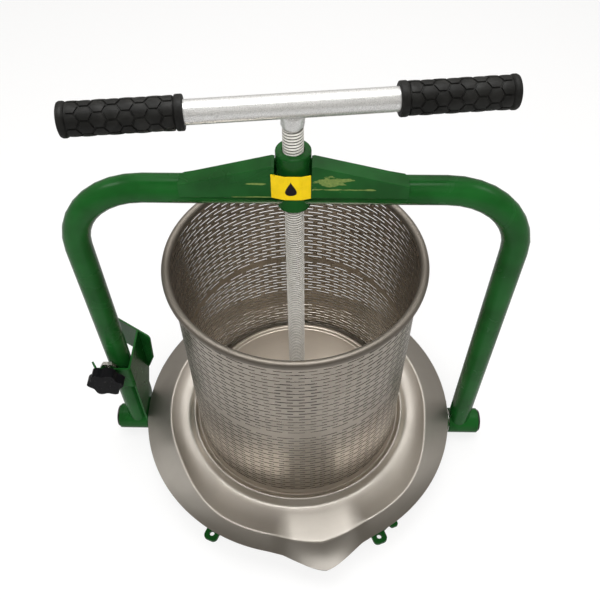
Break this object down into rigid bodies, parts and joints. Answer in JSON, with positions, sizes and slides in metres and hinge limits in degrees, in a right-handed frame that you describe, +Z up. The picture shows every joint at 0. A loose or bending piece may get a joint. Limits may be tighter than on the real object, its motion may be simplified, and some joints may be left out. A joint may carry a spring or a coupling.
{
  "type": "fruit press",
  "caption": "Fruit press: slotted stainless basket in a pouring tray, under a lockable tilting tube frame that carries a screw, press plate and T-handle.",
  "frame": {"origin": "on the screw's axis, at the level of the feet's underside", "axes": "+Z up along the screw; +Y to the rear, so the spout, the label and the lock knob face -Y; +X to the right, along the frame's pivots"},
  "size_m": [0.527, 0.4384, 0.5728],
  "materials": {
    "green_enamel": "gloss",
    "stainless": "satin",
    "screw_steel": "turned",
    "dark_steel": "oiled",
    "zinc": "zinc plated",
    "silver_paint": "speckled",
    "yellow_label": "gloss",
    "grip_rubber": "matte",
    "knob_plastic": "satin"
  },
  "bodies": {
    "base": {"base_beam": "green_enamel", "arm_front": "green_enamel", "arm_rear": "green_enamel", "foot_front_left": "green_enamel", "foot_front_right": "green_enamel", "foot_rear_left": "green_enamel", "foot_rear_right": "green_enamel", "tray_ring": "green_enamel", "end_plate_right": "green_enamel", "lock_bracket": "green_enamel", "lock_nut": "zinc", "axle_left": "dark_steel", "axle_right": "dark_steel", "axle_cap_left": "dark_steel", "axle_cap_right": "dark_steel", "pivot_washer_left": "zinc", "pivot_washer_right": "zinc", "tray": "stainless", "basket": "stainless"},
    "frame": {"leg_left": "green_enamel", "leg_right": "green_enamel", "pivot_sleeve_left": "green_enamel", "pivot_sleeve_right": "green_enamel", "screw_boss": "green_enamel", "cover_front": "green_enamel", "cover_rear": "green_enamel", "label_plate": "yellow_label"},
    "plunger": {"press_plate": "stainless", "hub_cup": "dark_steel", "hub_cap": "dark_steel"},
    "screw": {"spindle": "screw_steel", "handle_bar": "silver_paint", "handle_weld": "silver_paint", "grip_left": "grip_rubber", "grip_right": "grip_rubber"},
    "lock_stud": {"lock_stud": "zinc"},
    "lock_knob": {"lock_knob": "knob_plastic"}
  },
  "joints": [
    {"name": "frame_tilt", "type": "hinge", "parent": "base", "child": "frame", "pos_m": [0, 0, 0.024], "axis": [-1, 0, 0], "range_deg": [0, 1.5]},
    {"name": "screw_feed", "type": "slide", "parent": "frame", "child": "plunger", "axis": [0, 0, 1], "range_m": [0, 0.33]},
    {"name": "screw_turn", "type": "hinge", "parent": "plunger", "child": "screw", "pos_m": [0, 0, 0.3], "axis": [0, 0, 1], "range_deg": [0, 37125]},
    {"name": "lock_feed", "type": "slide", "parent": "base", "child": "lock_stud", "axis": [0, -1, 0], "range_m": [0, 0.012]},
    {"name": "lock_turn", "type": "hinge", "parent": "lock_stud", "child": "lock_knob", "pos_m": [-0.2405, -0.04, 0.1745], "axis": [0, -1, 0], "range_deg": [0, 2880]}
  ],
  "couplings": [
    {"joint": "screw_feed", "follows": "screw_turn", "m_per_rad": 0.00050929},
    {"joint": "lock_feed", "follows": "lock_turn", "m_per_rad": 0.00023873}
  ]
}
